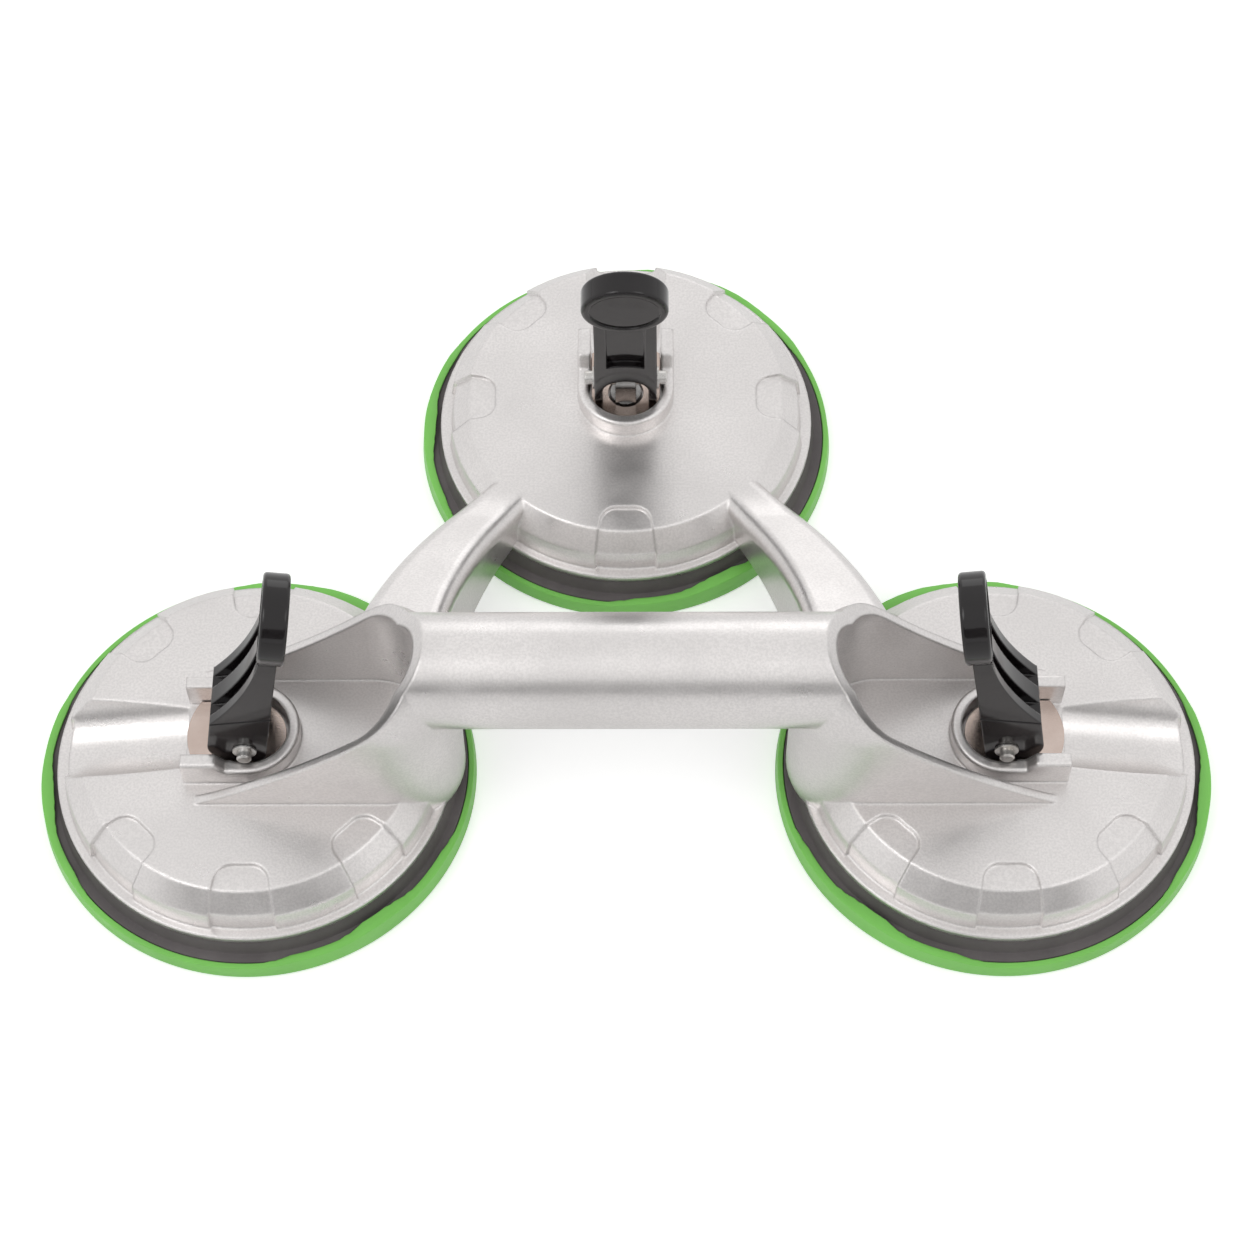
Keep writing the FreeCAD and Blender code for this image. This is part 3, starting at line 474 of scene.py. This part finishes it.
class LIFTER_OT_springs(bpy.types.Operator):
    """Model the return springs, at one fixed length; the real ones shorten as the stems rise
    """
    bl_idname = "lifter.springs"
    bl_label = "Return springs"

    def execute(self, context):
        sizes = context.scene.lifter_springs
        finish = steel("spring_wire", (0.45, 0.45, 0.46), 0.28, (1, 1, 1), (0.3, 0.3, 0.31))
        for side in SIDES:
            low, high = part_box("return_spring_" + side)
            spring = self.coil("coil_" + side, (high - low).z, sizes)
            spring.data.materials.append(finish)
            middle = (low + high) / 2
            settle(spring, (middle.x, middle.y, low.z))
            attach(spring, "root")
            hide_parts("return_spring_" + side)
            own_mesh(spring)
        return {"FINISHED"}

    def coil(self, name, height, sizes):
        """A round of wire on its foot, screwed up to the height and closed at both ends."""
        clear_selection()
        bpy.ops.mesh.primitive_circle_add(
            vertices=WIRE_SIDES, radius=sizes.wire, fill_type="NOTHING",
            location=(sizes.coil, 0, sizes.wire), rotation=(math.pi / 2, 0, 0))
        made = bpy.context.object
        made.name = name
        bpy.ops.object.transform_apply(location=True, rotation=True, scale=True)
        screw = made.modifiers.new("coil", "SCREW")
        screw.steps = screw.render_steps = COIL_STEPS
        screw.iterations = sizes.turns
        screw.screw_offset = (height - 2 * sizes.wire) / sizes.turns
        bpy.ops.object.modifier_apply(modifier=screw.name)
        bpy.ops.object.mode_set(mode="EDIT")
        bpy.ops.mesh.select_all(action="SELECT")
        bpy.ops.mesh.fill_holes(sides=0)
        bpy.ops.mesh.normals_make_consistent(inside=False)
        bpy.ops.object.mode_set(mode="OBJECT")
        bpy.ops.object.shade_smooth_by_angle(angle=COIL_SMOOTH)
        return made


# Half section of the pad in millimetres, from the middle of its underside round the
# sealing rings and the rim to its seat for the core.
PAD_SECTION = (
    (6.0, 2.8), (30.0, 2.6), (37.0, 2.6), (37.8, 2.0), (38.6, 2.6), (42.4, 2.5),
    (43.2, 1.9), (44.0, 2.5), (46.5, 2.4), (48.2, 2.1), (50.5, 1.65), (56.9, 1.6),
    (57.7, 1.85), (58.15, 2.4), (58.2, 3.0), (58.2, 4.5), (58.1, 4.8), (57.8, 4.98),
    (56.1, 5.0), (55.7, 5.1), (55.5, 5.4), (55.2, 6.4), (54.7, 7.6), (54.3, 8.6),
    (53.9, 9.7), (53.6, 9.95), (50.1, 9.95), (49.6, 9.8), (48.9, 8.9), (48.4, 8.25),
    (42.0, 8.2), (41.4, 7.9), (40.6, 7.9), (40.0, 8.2), (31.0, 8.2), (30.3, 8.0),
    (30.25, 7.4), (30.25, 5.02), (6.0, 5.0),
)
PAD_SEGMENTS = 128


class LIFTER_OT_pads(bpy.types.Operator):
    """Model the rubber pads with their sealing rings"""
    bl_idname = "lifter.pads"
    bl_label = "Rubber pads"

    def execute(self, context):
        finish = rubber(context.scene.lifter_looks)
        first = lathe("rubber_pad_left", [(r * MM, z * MM) for r, z in PAD_SECTION],
                      PAD_SEGMENTS)
        first.data.materials.append(finish)
        pads = [first] + [mesh_copy(first, "rubber_pad_" + side) for side in SIDES[1:]]
        for pad, side in zip(pads, SIDES):
            settle(pad, cup_centre(side))
            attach(pad, "root")
            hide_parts("suction_pad_" + side)
        return {"FINISHED"}


# ------------------------------------------------------------------ stage

FLOOR_DROP = 0.2 * MM
PAPER = (0.93, 0.93, 0.93, 1)
WHITE = (1, 1, 1, 1)
MATT = 0.9
WORLD_LIGHT = 0.68
SEEING_RAYS = ("Is Camera Ray", "Is Glossy Ray", "Is Transmission Ray")
FLOOR_GLOW = (0.42, 0.15, 0.15)     # for each of the seeing rays
WORLD_WHITE = (1.0, 1.0, 1.0)
LAMPS = (                           # name, place, size in metres, watts
    ("key_light", (-0.8, -0.5, 1.4), 0.7, 4.0),
    ("fill_light", (0.9, -0.5, 1.3), 0.7, 2.0),
    ("back_light", (0.2, 1.6, 0.7), 0.8, 1.5),
)
CARD_PLACE = (0, -1.25, 0.62)
CARD_SIZE = (2.4, 0.6, 1.0)
CARD_GREY = (0.3, 0.3, 0.3, 1)
SENSOR = 36.0                       # millimetres


def seen(tree, shares):
    """Sum of the shares of the rays by which the surface is seen, else 0."""
    path = tree.nodes.new("ShaderNodeLightPath")
    total = None
    for ray, share in zip(SEEING_RAYS, shares):
        part = tree.nodes.new("ShaderNodeMath")
        part.operation = "MULTIPLY_ADD"
        part.inputs[1].default_value = share
        part.inputs[2].default_value = 0.0
        tree.links.new(path.outputs[ray], part.inputs[0])
        if total:
            tree.links.new(total, part.inputs[2])
        total = part.outputs[0]
    return total


def matt(name, colour):
    """Material of one matt colour, and its shader."""
    material = bpy.data.materials.new(name)
    material.use_nodes = True
    shader = material.node_tree.nodes["Principled BSDF"]
    shader.inputs["Base Color"].default_value = colour
    shader.inputs["Roughness"].default_value = MATT
    return material, shader


class LIFTER_OT_stage(bpy.types.Operator):
    """Set up the floor, world, lamps, card and camera"""
    bl_idname = "lifter.stage"
    bl_label = "Stage"

    def execute(self, context):
        scene = context.scene
        setup = scene.lifter_stage
        self.floor(setup)
        self.world(scene)
        self.lights()
        self.card()
        self.camera(scene, setup)
        scene.view_settings.view_transform = "Standard"
        return {"FINISHED"}

    def floor(self, setup):
        """Pale paper that is white where it is seen and keeps the shadow."""
        clear_selection()
        bpy.ops.mesh.primitive_plane_add(size=setup.floor_size, location=(0, 0, 0))
        floor = bpy.context.object
        floor.name = "studio_floor"
        settle(floor, (0, 0, -FLOOR_DROP))
        material, paper = matt("floor_paper", PAPER)
        paper.inputs["Specular IOR Level"].default_value = 0.1
        tree = material.node_tree
        glow = tree.nodes.new("ShaderNodeEmission")
        glow.inputs["Color"].default_value = WHITE
        tree.links.new(seen(tree, FLOOR_GLOW), glow.inputs["Strength"])
        both = tree.nodes.new("ShaderNodeAddShader")
        tree.links.new(paper.outputs[0], both.inputs[0])
        tree.links.new(glow.outputs[0], both.inputs[1])
        tree.links.new(both.outputs[0], tree.nodes["Material Output"].inputs["Surface"])
        floor.data.materials.append(material)

    def world(self, scene):
        """Plain light, with white where the world itself is seen."""
        world = bpy.data.worlds.new("studio_world")
        world.use_nodes = True
        scene.world = world
        tree = world.node_tree
        plain = tree.nodes["Background"]
        plain.inputs["Color"].default_value = WHITE
        plain.inputs["Strength"].default_value = WORLD_LIGHT
        white = tree.nodes.new("ShaderNodeBackground")
        white.inputs["Color"].default_value = WHITE
        white.inputs["Strength"].default_value = 1.0
        mix = tree.nodes.new("ShaderNodeMixShader")
        tree.links.new(seen(tree, WORLD_WHITE), mix.inputs[0])
        tree.links.new(plain.outputs[0], mix.inputs[1])
        tree.links.new(white.outputs[0], mix.inputs[2])
        tree.links.new(mix.outputs[0], tree.nodes["World Output"].inputs["Surface"])

    def lights(self):
        """Square area lamps aimed at the middle of the floor."""
        for name, spot, size, power in LAMPS:
            clear_selection()
            bpy.ops.object.light_add(type="AREA", location=spot)
            lamp = bpy.context.object
            lamp.name = name
            lamp.data.shape = "SQUARE"
            lamp.data.size = size
            lamp.data.energy = power
            lamp.rotation_euler = (-Vector(spot)).to_track_quat("-Z", "Y").to_euler()

    def card(self):
        """Grey card behind the camera, which shades the faces that lean forward."""
        clear_selection()
        bpy.ops.mesh.primitive_plane_add(size=1, location=CARD_PLACE,
                                         rotation=(math.pi / 2, 0, 0))
        card = bpy.context.object
        card.name = "dark_card"
        card.scale = CARD_SIZE
        settle(card, CARD_PLACE)
        card.data.materials.append(matt("card_grey", CARD_GREY)[0])

    def camera(self, scene, setup):
        """Camera at its distance, elevation and azimuth from the target, rolled a little."""
        high, round_by, roll = setup.elevation, setup.azimuth, setup.roll
        back = Vector((math.sin(round_by) * math.cos(high),
                       -math.cos(round_by) * math.cos(high), math.sin(high)))
        right = Vector((math.cos(round_by), math.sin(round_by), 0))
        up = back.cross(right)
        turned_right = right * math.cos(roll) + up * math.sin(roll)
        turned_up = up * math.cos(roll) - right * math.sin(roll)
        spot = Vector(setup.target) + back * setup.distance
        bpy.ops.object.camera_add(location=spot)
        camera = bpy.context.object
        camera.name = "studio_camera"
        turn = Matrix((turned_right, turned_up, back)).transposed()
        camera.matrix_world = Matrix.Translation(spot) @ turn.to_4x4()
        camera.data.lens = setup.lens
        camera.data.sensor_width = SENSOR
        scene.camera = camera


class LIFTER_PT_panel(bpy.types.Panel):
    """Lists the lifter's pieces and its stage"""
    bl_idname = "LIFTER_PT_panel"
    bl_label = "Floor tile lifter"
    bl_space_type = "VIEW_3D"
    bl_region_type = "UI"
    bl_category = "Lifter"

    def draw(self, context):
        for operator in OPERATORS:
            self.layout.operator(operator.bl_idname)
        scene = context.scene
        for group in (scene.lifter_looks, scene.lifter_springs, scene.lifter_stage):
            for name in group.__annotations__:
                self.layout.prop(group, name)


OPERATORS = (LIFTER_OT_casting, LIFTER_OT_levers, LIFTER_OT_steel, LIFTER_OT_caps,
             LIFTER_OT_pads, LIFTER_OT_springs, LIFTER_OT_stage)
CLASSES = (LifterLooks, LifterSprings, LifterStage) + OPERATORS + (LIFTER_PT_panel,)


def register():
    for item in CLASSES:
        bpy.utils.register_class(item)
    bpy.types.Scene.lifter_looks = PointerProperty(type=LifterLooks)
    bpy.types.Scene.lifter_springs = PointerProperty(type=LifterSprings)
    bpy.types.Scene.lifter_stage = PointerProperty(type=LifterStage)


def unregister():
    del bpy.types.Scene.lifter_looks
    del bpy.types.Scene.lifter_springs
    del bpy.types.Scene.lifter_stage
    for item in reversed(CLASSES):
        bpy.utils.unregister_class(item)


def main():
    register()
    bpy.ops.lifter.stage()
    bpy.ops.lifter.casting()
    bpy.ops.lifter.levers()
    bpy.ops.lifter.steel()
    bpy.ops.lifter.caps()
    bpy.ops.lifter.pads()
    bpy.ops.lifter.springs()


if __name__ == "__main__":
    main()
